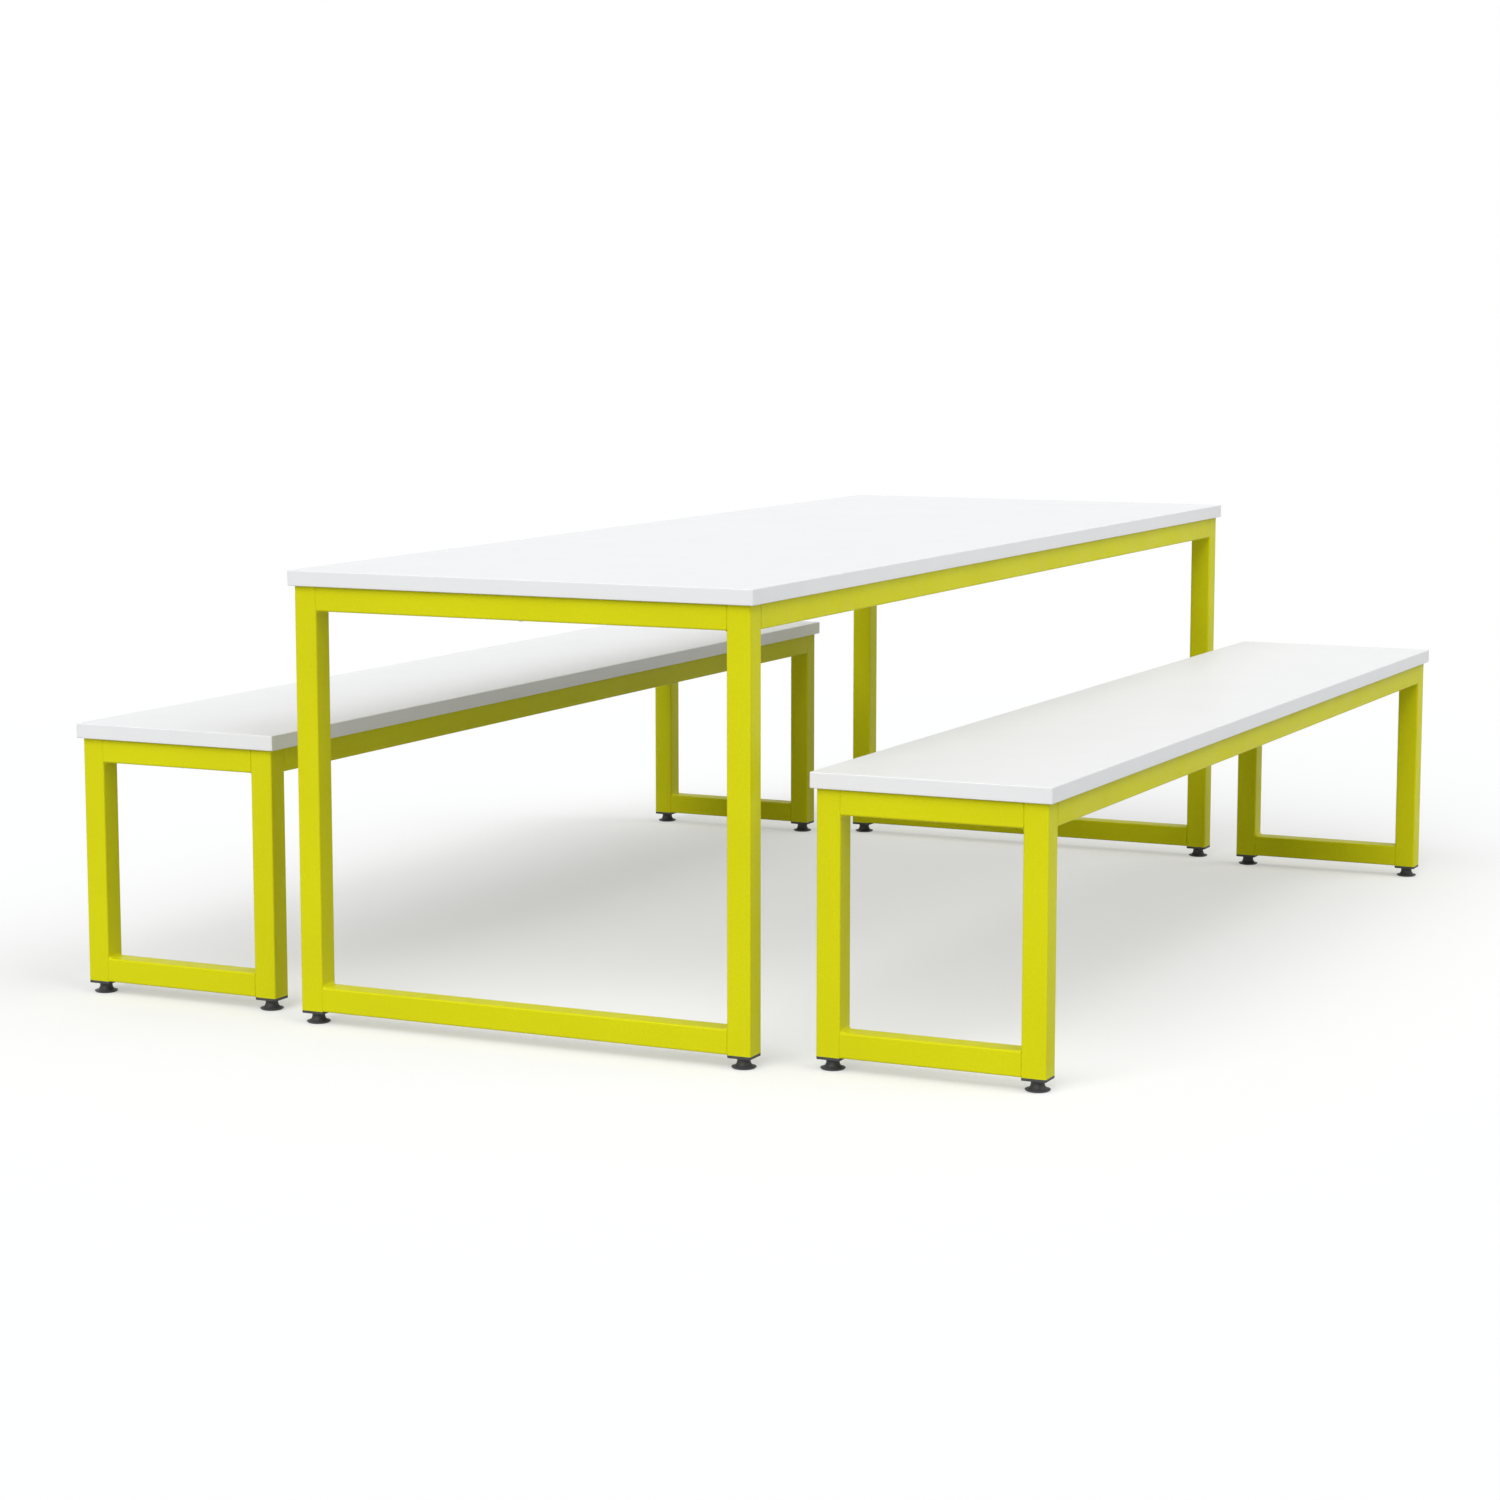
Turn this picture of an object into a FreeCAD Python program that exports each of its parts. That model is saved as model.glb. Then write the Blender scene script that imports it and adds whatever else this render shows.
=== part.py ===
import FreeCAD
import Part
import math
import os

# A canteen table with two loose benches, on welded frames of square tube.
# The origin is on the floor, in the middle of the set. +X runs along the length, from the
# near end to the far end, +Y points to the left bench and +Z is up. Sizes are in millimetres.

# Table and benches
TABLE_HEIGHT = 740.0  # floor to the top of the table's board
TABLE_LENGTH = 2250.0  # outside of the table's two end frames
TABLE_WIDTH = 810.0  # outside of the table's legs
SEAT_HEIGHT = 462.0  # floor to the top of a bench's board
BENCH_LENGTH = 2144.0  # short enough to go in between the table's end frames
BENCH_WIDTH = 375.0
BENCH_GAP = 86.0  # clear space between the table's legs and a bench's legs

# Square tube and its welds
TUBE_SIDE = 40.0
TUBE_WALL = 2.0
TUBE_CORNER = 3.0  # outside corner radius
TUBE_BORE_CORNER = 1.0  # inside corner radius
FILLET_LEG = 5.0  # how far a fillet weld reaches along each of its two tubes
FILLET_THROAT = 1.9  # how far the middle of its face stands off each tube
SEAM_TOP = 0.6  # depth of a ground seam weld below the faces of its tubes
SEAM_ROOT = 2.2  # depth that it reaches in the groove between them

# Boards and their edging
BOARD_THICKNESS = 25.0
BOARD_OVERHANG = 8.0  # past the frame, all round
EDGING_THICKNESS = 2.0
EDGING_ROUND = 1.5  # radius along the edging's outer edges
EDGING_JOINT = 0.1  # glue line between the strips at each corner

# Screws that hold a board to its rails
SCREW_DIAMETER = 5.0
SCREW_BITE = 18.0  # length of the screw inside the board
SCREW_POINT = 4.0
SCREW_HEAD_DIAMETER = 10.0
SCREW_HEAD_HEIGHT = 3.0
SCREW_HEAD_BEVEL = 1.2
SCREW_HOLE_CLEARANCE = 0.3  # radial, in the tube's walls
PILOT_CLEARANCE = 0.05  # radial, in the board
SIDE_RAIL_SCREWS = 3
SCREW_END_MARGIN = 150.0  # from a side rail's end to its first screw

# Plastic plugs in the legs, each with a nut
FLANGE_THICKNESS = 4.5
FLANGE_BEVEL = 0.5
PLUG_DEPTH = 28.0
PLUG_CLEARANCE = 0.2  # all round, between the ribs and the tube
PLUG_BEVEL = 2.0  # across the corners of the ribs and the core
RIB_COUNT = 3
RIB_THICKNESS = 3.5
RIB_HEIGHT = 2.5  # how far a rib stands off the core at its lower edge
RIB_TAPER = 1.5  # how much of that height is gone at its upper edge
NUT_ACROSS_FLATS = 17.0
NUT_HEIGHT = 8.0
NUT_CLEARANCE = 0.1  # all round, in the plug's pocket

# Screw feet
FOOT_HEIGHT = 17.5  # from the floor to the plug's flange, screwed right in
FOOT_TRAVEL = 15.0  # how far a foot screws out
SOLE_DIAMETER = 30.0
RIM_DIAMETER = 39.0
RIM_LOW = 2.0  # height of the rim's lower edge
RIM_EDGE = 1.2  # thickness of the rim at its edge
NECK_DIAMETER = 21.0
NECK_HEIGHT = 5.5  # straight part of the neck, above the flare
STUD_DIAMETER = 10.0
STUD_BEVEL = 1.0
STUD_ROOT = 12.0  # length moulded into the glide
THREAD_CLEARANCE = 0.05  # radial, between the stud and the nut
STUD_HOLE_CLEARANCE = 0.3  # radial, between the stud and the plug

# Heights and places that follow from the sizes above
TUBE_BORE = TUBE_SIDE - 2 * TUBE_WALL
LEG_BOTTOM = FOOT_HEIGHT + FLANGE_THICKNESS
BOTTOM_RAIL_MIDDLE = LEG_BOTTOM + TUBE_SIDE / 2
PLUG_TOP = LEG_BOTTOM + PLUG_DEPTH
STUD_TOP = PLUG_TOP + FOOT_TRAVEL  # screwed right out, the stud still fills its nut
BENCH_OFFSET = TABLE_WIDTH / 2 + BENCH_GAP + BENCH_WIDTH / 2

Vector = FreeCAD.Vector
ORIGIN = Vector(0, 0, 0)
X_AXIS = Vector(1, 0, 0)
Y_AXIS = Vector(0, 1, 0)
Z_AXIS = Vector(0, 0, 1)
ENDS = {"near": -1, "far": 1}
SIDES = {"right": -1, "left": 1}


def place(shape, base, direction=Z_AXIS):
    """Copy a shape drawn round +Z, with its origin moved to base and its Z axis turned to direction."""
    placed = shape.copy()
    turn = FreeCAD.Rotation(Z_AXIS, direction)
    placed.Placement = FreeCAD.Placement(base, turn).multiply(shape.Placement)
    return placed


def rounded_square(side, corner):
    """A square wire round the origin, with round corners."""
    reach = side / 2 - corner
    quadrants = ((1, 1), (-1, 1), (-1, -1), (1, -1))
    arcs = []
    for number, (toward_x, toward_y) in enumerate(quadrants):
        centre = Vector(toward_x * reach, toward_y * reach, 0)
        start = 90 * number
        arcs.append(Part.makeCircle(corner, centre, Z_AXIS, start, start + 90))
    edges = []
    for arc, following in zip(arcs, arcs[1:] + arcs[:1]):
        straight = Part.makeLine(arc.valueAt(arc.LastParameter), following.valueAt(following.FirstParameter))
        edges.extend([arc, straight])
    return Part.Wire(edges)


def bevelled_square(side, bevel):
    """A square wire round the origin, with its corners cut off."""
    outer = side / 2
    cut = outer - bevel
    ring = ((outer, cut), (cut, outer), (-cut, outer), (-outer, cut),
            (-outer, -cut), (-cut, -outer), (cut, -outer), (outer, -cut))
    points = [Vector(x, y, 0) for x, y in ring]
    return Part.makePolygon(points + points[:1])


def prism(wire, height):
    """A closed wire in the XY plane, raised along +Z."""
    return Part.Face(wire).extrude(Z_AXIS * height)


def hexagon_prism(across_flats, height):
    """A six-sided prism along +Z."""
    radius = across_flats / math.sqrt(3)
    angles = [math.radians(60 * corner) for corner in range(6)]
    points = [Vector(radius * math.cos(angle), radius * math.sin(angle), 0) for angle in angles]
    return prism(Part.makePolygon(points + points[:1]), height)


def block(x_span, y_span, z_span):
    """A box between three pairs of planes."""
    low = Vector(x_span[0], y_span[0], z_span[0])
    high = Vector(x_span[1], y_span[1], z_span[1])
    size = high - low
    return Part.makeBox(size.x, size.y, size.z, low)


def tangent_arc(start, direction, end):
    """An arc from start to end that leaves start along direction."""
    chord = end - start
    bulge = direction - chord * (direction.dot(chord) / chord.Length ** 2)
    bulge.normalize()
    rise = chord.Length / 2 * math.tan(direction.getAngle(chord) / 2)
    return Part.Arc(start, start + chord * 0.5 + bulge * rise, end).toShape()


def revolved(profile):
    """A solid of revolution round Z, from edges in the XZ plane that start and end on the axis."""
    first = profile[0].valueAt(profile[0].FirstParameter)
    last = profile[-1].valueAt(profile[-1].LastParameter)
    outline = Part.Wire(profile + [Part.makeLine(last, first)])
    return Part.Face(outline).revolve(ORIGIN, Z_AXIS, 360)


def turned(steps):
    """A solid of revolution from straight steps, given as (radius, height) pairs."""
    corners = [Vector(radius, 0, height) for radius, height in steps]
    return revolved([Part.makeLine(start, end) for start, end in zip(corners, corners[1:])])


def tube(length):
    """A length of square tube along +Z."""
    outside = Part.Face(rounded_square(TUBE_SIDE, TUBE_CORNER))
    bore = Part.Face(rounded_square(TUBE_BORE, TUBE_BORE_CORNER))
    return outside.cut(bore).extrude(Z_AXIS * length)


def weld(outline, base, first, second):
    """A weld as long as a tube's flat side, with its outline's X and Y turned to two directions from base."""
    flat_width = TUBE_SIDE - 2 * TUBE_CORNER
    bead = prism(Part.Wire(outline), flat_width)
    bead.translate(Z_AXIS * (-flat_width / 2))
    turn = FreeCAD.Rotation(first, second, first.cross(second), "XYZ")
    bead.Placement = FreeCAD.Placement(base, turn).multiply(bead.Placement)
    return bead


def fillet_outline():
    """A hollow-faced weld in the inner corner of two tubes, which lie along X and Y."""
    along_first = X_AXIS * FILLET_LEG
    along_second = Y_AXIS * FILLET_LEG
    middle = Vector(FILLET_THROAT, FILLET_THROAT, 0)
    return [Part.makeLine(ORIGIN, along_first),
            Part.Arc(along_first, middle, along_second).toShape(),
            Part.makeLine(along_second, ORIGIN)]


def seam_outline():
    """A weld in the groove between a leg's round corner and a rail's end: X is out of it, Y along the rail."""
    def on_leg(depth):
        across = math.sqrt(TUBE_CORNER ** 2 - (TUBE_CORNER - depth) ** 2)
        return Vector(-depth, across - TUBE_CORNER, 0)

    top_on_rail = X_AXIS * -SEAM_TOP
    root_on_rail = X_AXIS * -SEAM_ROOT
    round_side = Part.Arc(on_leg(SEAM_TOP), on_leg((SEAM_TOP + SEAM_ROOT) / 2), on_leg(SEAM_ROOT))
    return [Part.makeLine(top_on_rail, on_leg(SEAM_TOP)),
            round_side.toShape(),
            Part.makeLine(on_leg(SEAM_ROOT), root_on_rail),
            Part.makeLine(root_on_rail, top_on_rail)]


def joint_welds(joint, along_rail, inward):
    """The welds round the middle of a rail's end: a fillet in its inner corner and a seam on either face."""
    reach = TUBE_SIDE / 2
    across = along_rail.cross(inward)
    return [weld(fillet_outline(), joint + inward * reach, along_rail, inward),
            weld(seam_outline(), joint + across * reach, across, along_rail),
            weld(seam_outline(), joint - across * reach, across * -1, along_rail)]


def screw():
    """A fixing screw along +Z: its head is below zero, its shank passes a rail and bites the board."""
    tip = TUBE_SIDE + SCREW_BITE
    shank = SCREW_DIAMETER / 2
    head = SCREW_HEAD_DIAMETER / 2
    return turned([(0, -SCREW_HEAD_HEIGHT), (head - SCREW_HEAD_BEVEL, -SCREW_HEAD_HEIGHT),
                   (head, SCREW_HEAD_BEVEL - SCREW_HEAD_HEIGHT), (head, 0), (shank, 0),
                   (shank, tip - SCREW_POINT), (0, tip)])


def screw_hole():
    """What a screw needs cut out of its rail and the board, along +Z from the rail's underside."""
    through_rail = Part.makeCylinder(SCREW_DIAMETER / 2 + SCREW_HOLE_CLEARANCE, TUBE_SIDE)
    pilot = Part.makeCylinder(SCREW_DIAMETER / 2 + PILOT_CLEARANCE, SCREW_BITE, Z_AXIS * TUBE_SIDE)
    return through_rail.fuse(pilot)


def plug_nut():
    """The nut in a leg plug, at its height above the floor."""
    nut = hexagon_prism(NUT_ACROSS_FLATS, NUT_HEIGHT)
    nut = nut.cut(Part.makeCylinder(STUD_DIAMETER / 2 + THREAD_CLEARANCE, NUT_HEIGHT))
    nut.translate(Z_AXIS * (PLUG_TOP - NUT_HEIGHT))
    return nut


def plug_ribs():
    """The ribs that grip the tube: each is tapered, so that the plug can be driven in."""
    rib_side = TUBE_BORE - 2 * PLUG_CLEARANCE
    pitch = PLUG_DEPTH / RIB_COUNT
    ribs = []
    for number in range(RIB_COUNT):
        lower = bevelled_square(rib_side, PLUG_BEVEL)
        upper = bevelled_square(rib_side - 2 * RIB_TAPER, PLUG_BEVEL)
        upper.translate(Z_AXIS * RIB_THICKNESS)
        rib = Part.makeLoft([lower, upper], True, True)
        rib.translate(Z_AXIS * (LEG_BOTTOM + (number + 0.5) * pitch - RIB_THICKNESS / 2))
        ribs.append(rib)
    return ribs


def leg_plug():
    """A ribbed plug with a square flange, a pocket for the nut and a hole for the stud."""
    flange = prism(rounded_square(TUBE_SIDE, TUBE_CORNER), FLANGE_THICKNESS)
    bottom_edges = [edge for edge in flange.Edges if edge.BoundBox.ZMax < FLANGE_BEVEL]
    flange = flange.makeChamfer(FLANGE_BEVEL, bottom_edges)
    flange.translate(Z_AXIS * FOOT_HEIGHT)
    core_side = TUBE_BORE - 2 * PLUG_CLEARANCE - 2 * RIB_HEIGHT
    core = prism(bevelled_square(core_side, PLUG_BEVEL), PLUG_DEPTH)
    core.translate(Z_AXIS * LEG_BOTTOM)
    pocket = hexagon_prism(NUT_ACROSS_FLATS + 2 * NUT_CLEARANCE, NUT_HEIGHT)
    pocket.translate(Z_AXIS * (PLUG_TOP - NUT_HEIGHT))
    stud_hole = Part.makeCylinder(STUD_DIAMETER / 2 + STUD_HOLE_CLEARANCE, PLUG_TOP)
    return flange.fuse([core] + plug_ribs()).cut([pocket, stud_hole]).removeSplitter()


def foot_glide():
    """The flared base of a foot, from its flat sole on the floor to the top of its neck."""
    sole = Vector(SOLE_DIAMETER / 2, 0, 0)
    rim_bottom = Vector(RIM_DIAMETER / 2, 0, RIM_LOW)
    rim_top = rim_bottom + Z_AXIS * RIM_EDGE
    neck_top = Vector(NECK_DIAMETER / 2, 0, FOOT_HEIGHT)
    neck_bottom = neck_top - Z_AXIS * NECK_HEIGHT
    glide = revolved([Part.makeLine(ORIGIN, sole),
                      tangent_arc(sole, X_AXIS, rim_bottom),
                      Part.makeLine(rim_bottom, rim_top),
                      tangent_arc(neck_bottom, Z_AXIS * -1, rim_top),
                      Part.makeLine(neck_bottom, neck_top),
                      Part.makeLine(neck_top, Z_AXIS * FOOT_HEIGHT)])
    socket = Part.makeCylinder(STUD_DIAMETER / 2, STUD_ROOT, Z_AXIS * (FOOT_HEIGHT - STUD_ROOT))
    return glide.cut(socket)


def foot_stud():
    """The threaded stud of a foot, moulded into the glide and reaching up through the nut."""
    radius = STUD_DIAMETER / 2
    root = FOOT_HEIGHT - STUD_ROOT
    return turned([(0, root), (radius, root), (radius, STUD_TOP - STUD_BEVEL),
                   (radius - STUD_BEVEL, STUD_TOP), (0, STUD_TOP)])


def board_pieces(length, width):
    """A board as its panel and four edge strips, the long strips over the ends of the short ones."""
    across_x = (-length / 2, length / 2)
    across_y = (-width / 2, width / 2)
    across_z = (0, BOARD_THICKNESS)
    whole = block(across_x, across_y, across_z)
    whole = whole.makeFillet(EDGING_ROUND, whole.Edges)
    inner_x = length / 2 - EDGING_THICKNESS
    inner_y = width / 2 - EDGING_THICKNESS
    short_y = inner_y - EDGING_JOINT
    panel = block((-inner_x, inner_x), (-inner_y, inner_y), across_z)
    past_z = (-BOARD_THICKNESS, 2 * BOARD_THICKNESS)
    cutters = [block((-length, length), (inner_y, width), past_z),
               block((-length, length), (-width, -inner_y), past_z),
               block((inner_x, length), (-short_y, short_y), past_z),
               block((-length, -inner_x), (-short_y, short_y), past_z)]
    return panel, [whole.common(cutter) for cutter in cutters]


class Furniture:
    """The table or one bench: its sizes, and its pieces by name."""

    def __init__(self, name, board_name, length, width, height, middle_y):
        self.name = name
        self.board_name = board_name
        self.length = length
        self.width = width
        self.middle_y = middle_y
        self.rail_top = height - BOARD_THICKNESS
        self.rail_middle = self.rail_top - TUBE_SIDE / 2
        self.rail_underside = self.rail_top - TUBE_SIDE
        self.end_rail_length = width - 2 * TUBE_SIDE
        self.side_rail_length = length - 2 * TUBE_SIDE
        self.leg_x = (length - TUBE_SIDE) / 2
        self.leg_y = (width - TUBE_SIDE) / 2

    def point(self, x, y, z):
        """A point measured from the floor under the middle of this piece of furniture."""
        return Vector(x, self.middle_y + y, z)

    def corners(self):
        """The name of each leg's corner, and the end and the side that it stands at."""
        for end_name, end in ENDS.items():
            for side_name, side in SIDES.items():
                yield f"{end_name}_{side_name}", end, side

    def at_each_leg(self, shape, z=0):
        """A copy of a shape on the middle line of each leg, by corner."""
        return {corner: place(shape, self.point(end * self.leg_x, side * self.leg_y, z))
                for corner, end, side in self.corners()}

    def screw_points(self):
        """The points on the underside of each top rail where its screws go in."""
        first = SCREW_END_MARGIN - self.side_rail_length / 2
        pitch = (self.side_rail_length - 2 * SCREW_END_MARGIN) / (SIDE_RAIL_SCREWS - 1)
        points = {}
        for end_name, end in ENDS.items():
            points[f"top_end_rail_{end_name}"] = [self.point(end * self.leg_x, 0, self.rail_underside)]
        for side_name, side in SIDES.items():
            points[f"side_rail_{side_name}"] = [
                self.point(first + number * pitch, side * self.leg_y, self.rail_underside)
                for number in range(SIDE_RAIL_SCREWS)]
        return points

    def legs(self):
        leg = tube(self.rail_top - LEG_BOTTOM)
        return {f"leg_{corner}": placed for corner, placed in self.at_each_leg(leg, LEG_BOTTOM).items()}

    def feet(self):
        foot = Part.makeCompound([foot_glide(), foot_stud()])
        return {f"foot_{corner}": placed for corner, placed in self.at_each_leg(foot).items()}

    def plugs(self):
        return {"leg_plugs": Part.makeCompound(list(self.at_each_leg(leg_plug()).values())),
                "plug_nuts": Part.makeCompound(list(self.at_each_leg(plug_nut()).values()))}

    def rails(self):
        """The rails, each with the holes for its screws."""
        end_rail = tube(self.end_rail_length)
        side_rail = tube(self.side_rail_length)
        rails = {}
        for end_name, end in ENDS.items():
            start_y = -self.end_rail_length / 2
            rails[f"top_end_rail_{end_name}"] = place(
                end_rail, self.point(end * self.leg_x, start_y, self.rail_middle), Y_AXIS)
            rails[f"bottom_end_rail_{end_name}"] = place(
                end_rail, self.point(end * self.leg_x, start_y, BOTTOM_RAIL_MIDDLE), Y_AXIS)
        for side_name, side in SIDES.items():
            start_x = -self.side_rail_length / 2
            rails[f"side_rail_{side_name}"] = place(
                side_rail, self.point(start_x, side * self.leg_y, self.rail_middle), X_AXIS)
        for rail, points in self.screw_points().items():
            rails[rail] = rails[rail].cut([place(screw_hole(), point) for point in points])
        return rails

    def welds(self):
        """The welds of each leg's three joints: with its top end rail, its bottom end rail and its side rail."""
        down = Z_AXIS * -1
        beads = []
        for corner, end, side in self.corners():
            leg_x = end * self.leg_x
            leg_y = side * self.leg_y
            end_rail_y = side * self.end_rail_length / 2
            side_rail_x = end * self.side_rail_length / 2
            beads += joint_welds(self.point(leg_x, end_rail_y, self.rail_middle), Y_AXIS * -side, down)
            beads += joint_welds(self.point(leg_x, end_rail_y, BOTTOM_RAIL_MIDDLE), Y_AXIS * -side, Z_AXIS)
            beads += joint_welds(self.point(side_rail_x, leg_y, self.rail_middle), X_AXIS * -end, down)
        return {"welds": Part.makeCompound(beads)}

    def board(self):
        """The board, its edging and the screws that hold it down."""
        panel, strips = board_pieces(self.length + 2 * BOARD_OVERHANG, self.width + 2 * BOARD_OVERHANG)
        points = [point for group in self.screw_points().values() for point in group]
        seat = self.point(0, 0, self.rail_top)
        holes = [place(screw_hole(), point) for point in points]
        return {self.board_name: place(panel, seat).cut(holes),
                "edge_strips": place(Part.makeCompound(strips), seat),
                "fixing_screws": Part.makeCompound([place(screw(), point) for point in points])}

    def pieces(self):
        """Every piece, by node name."""
        groups = (self.legs(), self.rails(), self.welds(), self.board(), self.plugs(), self.feet())
        return {f"{self.name}_{piece}": shape for group in groups for piece, shape in group.items()}


def build():
    """Write every piece of the table and the two benches to its own file."""
    os.makedirs("parts", exist_ok=True)
    furniture = [Furniture("table", "top_panel", TABLE_LENGTH, TABLE_WIDTH, TABLE_HEIGHT, 0)]
    for side_name, side in SIDES.items():
        furniture.append(Furniture(f"{side_name}_bench", "seat_panel",
                                   BENCH_LENGTH, BENCH_WIDTH, SEAT_HEIGHT, side * BENCH_OFFSET))
    for item in furniture:
        for node, shape in item.pieces().items():
            shape.exportStep(f"parts/{node}.step")


build()
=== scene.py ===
# %% [markdown]
# # A canteen table with two benches
# The set is a white board table and two loose white benches, on welded frames of square tube that
# are powder coated in lime yellow. The engineering model already has every tube, board, plug and
# foot at its real size and place. This lesson dresses that model: it gives each part the finish of
# the real one, and remakes the few parts whose beauty is in small detail.

# %% Load the frame
import math
from collections import namedtuple

import bmesh
import bpy
from mathutils import Matrix, Vector


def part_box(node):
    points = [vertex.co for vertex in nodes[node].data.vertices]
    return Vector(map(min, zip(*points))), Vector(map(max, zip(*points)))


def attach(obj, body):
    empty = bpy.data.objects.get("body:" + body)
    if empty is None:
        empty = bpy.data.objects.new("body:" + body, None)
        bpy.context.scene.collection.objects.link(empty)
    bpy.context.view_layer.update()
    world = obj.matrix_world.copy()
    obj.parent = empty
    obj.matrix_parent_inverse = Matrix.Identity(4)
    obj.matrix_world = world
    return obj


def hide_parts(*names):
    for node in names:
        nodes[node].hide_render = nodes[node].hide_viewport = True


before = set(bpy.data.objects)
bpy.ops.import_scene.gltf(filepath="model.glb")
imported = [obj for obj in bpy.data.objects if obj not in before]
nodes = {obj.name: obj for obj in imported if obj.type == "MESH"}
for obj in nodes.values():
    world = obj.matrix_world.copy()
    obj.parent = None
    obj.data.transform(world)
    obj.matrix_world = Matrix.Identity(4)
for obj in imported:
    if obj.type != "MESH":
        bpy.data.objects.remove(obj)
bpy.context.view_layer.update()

# %% [markdown]
# ## A workbench for finishes
# A paint or a plastic is never one flat colour: it varies a little in tone and gloss, and its skin
# has a fine texture. Pictures of the materials could be wrapped round the parts, but every part
# would have to be unwrapped first, and the pictures would repeat. So each finish below is a
# Principled shader fed by noise. The noise is measured in object coordinates: a grain of 2 mm is
# 2 mm on every part, and it stays on a bench that is moved. What is the same all over a surface is
# set on the shader itself.

# %% A finish and the nodes that feed it
NOISE_LOW = 0.3  # nearly all of a noise lies between these two
NOISE_HIGH = 0.7


def set_sockets(node, values):
    """Set input sockets by their names, which have an underscore for each space."""
    for socket, value in values.items():
        node.inputs[socket.replace("_", " ")].default_value = value


def add_node(tree, kind, **values):
    """A new node, with the values of its input sockets."""
    node = tree.nodes.new(kind)
    set_sockets(node, values)
    return node


class Finish:
    """A material in the making: its shader, and short ways to add what feeds it."""

    def __init__(self, name, **constant):
        self.material = bpy.data.materials.new(name)
        self.material.use_nodes = True
        self.tree = self.material.node_tree
        self.shader = self.tree.nodes["Principled BSDF"]
        set_sockets(self.shader, constant)
        self.place = add_node(self.tree, "ShaderNodeTexCoord").outputs["Object"]

    def feed(self, socket, source):
        """Link a source to a socket."""
        self.tree.links.new(source, socket)

    def noise(self, grain):
        """Noise whose lumps are about one grain across, in metres."""
        noise = add_node(self.tree, "ShaderNodeTexNoise", Scale=1 / grain)
        self.feed(noise.inputs["Vector"], self.place)
        return noise.outputs["Fac"]

    def mean(self, first, second):
        """Two noises in equal shares."""
        mean = add_node(self.tree, "ShaderNodeMix", Factor=0.5)
        self.feed(mean.inputs["A"], first)
        self.feed(mean.inputs["B"], second)
        return mean.outputs["Result"]

    def spread(self, source, low, high):
        """The middle of a noise, stretched to run from low to high."""
        stretch = add_node(self.tree, "ShaderNodeMapRange", From_Min=NOISE_LOW, From_Max=NOISE_HIGH,
                           To_Min=low, To_Max=high)
        self.feed(stretch.inputs["Value"], source)
        return stretch.outputs["Result"]

    def colour(self, source, first, second):
        """Vary the colour from a first tone to a second one."""
        mix = add_node(self.tree, "ShaderNodeMix")
        mix.data_type = "RGBA"
        tones, result = mix.inputs[6:8], mix.outputs[2]  # a mix node has other sockets for numbers
        for tone, value in zip(tones, (first, second)):
            tone.default_value = (*value, 1)
        self.feed(mix.inputs["Factor"], self.spread(source, 0, 1))
        self.feed(self.shader.inputs["Base Color"], result)

    def roughness(self, source, low, high):
        """Vary the gloss between two values of roughness."""
        self.feed(self.shader.inputs["Roughness"], self.spread(source, low, high))

    def skin(self, *layers):
        """Bump from layers of (noise, depth in metres), one on another."""
        normal = None
        for source, depth in layers:
            bump = add_node(self.tree, "ShaderNodeBump", Strength=1.0, Distance=depth)
            self.feed(bump.inputs["Height"], source)
            if normal:
                self.feed(bump.inputs["Normal"], normal)
            normal = bump.outputs["Normal"]
        self.feed(self.shader.inputs["Normal"], normal)


print("a finish has", ", ".join(way for way in vars(Finish) if not way.startswith("_")))

# %% [markdown]
# ## Lime yellow powder coat
# The frames are sprayed with dry powder that melts in an oven into a tough, satin skin. It flows
# into a faint orange peel, with lumps of 2 to 3 mm, and under it lies a finer grain. The lumps
# could be made by displacing the mesh, but they are only hundredths of a millimetre deep, so a
# layer of bump for each is enough.

# %% Powder coat
MM = 0.001
YELLOW = (0.74, 0.725, 0.004)
YELLOW_DEEP = (0.67, 0.645, 0.003)


def powder_coat():
    """Satin paint with an orange peel."""
    coat = Finish("lime_yellow_powder_coat", Specular_IOR_Level=0.12)
    clouds = coat.noise(220 * MM)
    patches = coat.noise(35 * MM)
    peel = coat.noise(2.8 * MM)
    grain = coat.noise(0.6 * MM)
    coat.colour(coat.mean(clouds, peel), YELLOW_DEEP, YELLOW)
    coat.roughness(patches, low=0.40, high=0.50)
    coat.skin((peel, 0.16 * MM), (grain, 0.03 * MM))
    return coat.material


yellow_coat = powder_coat()
print(yellow_coat.name, "has", len(yellow_coat.node_tree.nodes), "nodes")

# %% [markdown]
# ## White board and its edging
# The boards are chipboard faced with a hard white melamine, pressed with a fine pearl texture. The
# edging is a strip of white plastic, a little smoother and shinier than the face. One white would
# do for both from afar, but with a finish each, the joint line can just be made out in low light.

# %% Board face and edging
BOARD_WHITE = (0.864, 0.864, 0.869)
BOARD_WHITE_SHADE = (0.842, 0.842, 0.847)
EDGING_WHITE = (0.84, 0.84, 0.845)
EDGING_WHITE_SHADE = (0.825, 0.825, 0.83)


def melamine():
    """The pressed face of a board."""
    face = Finish("white_melamine", Specular_IOR_Level=0.35)
    clouds = face.noise(160 * MM)
    patches = face.noise(50 * MM)
    pearl = face.noise(1.3 * MM)
    grain = face.noise(0.4 * MM)
    face.colour(face.mean(clouds, pearl), BOARD_WHITE_SHADE, BOARD_WHITE)
    face.roughness(patches, low=0.42, high=0.52)
    face.skin((pearl, 0.07 * MM), (grain, 0.02 * MM))
    return face.material


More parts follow.
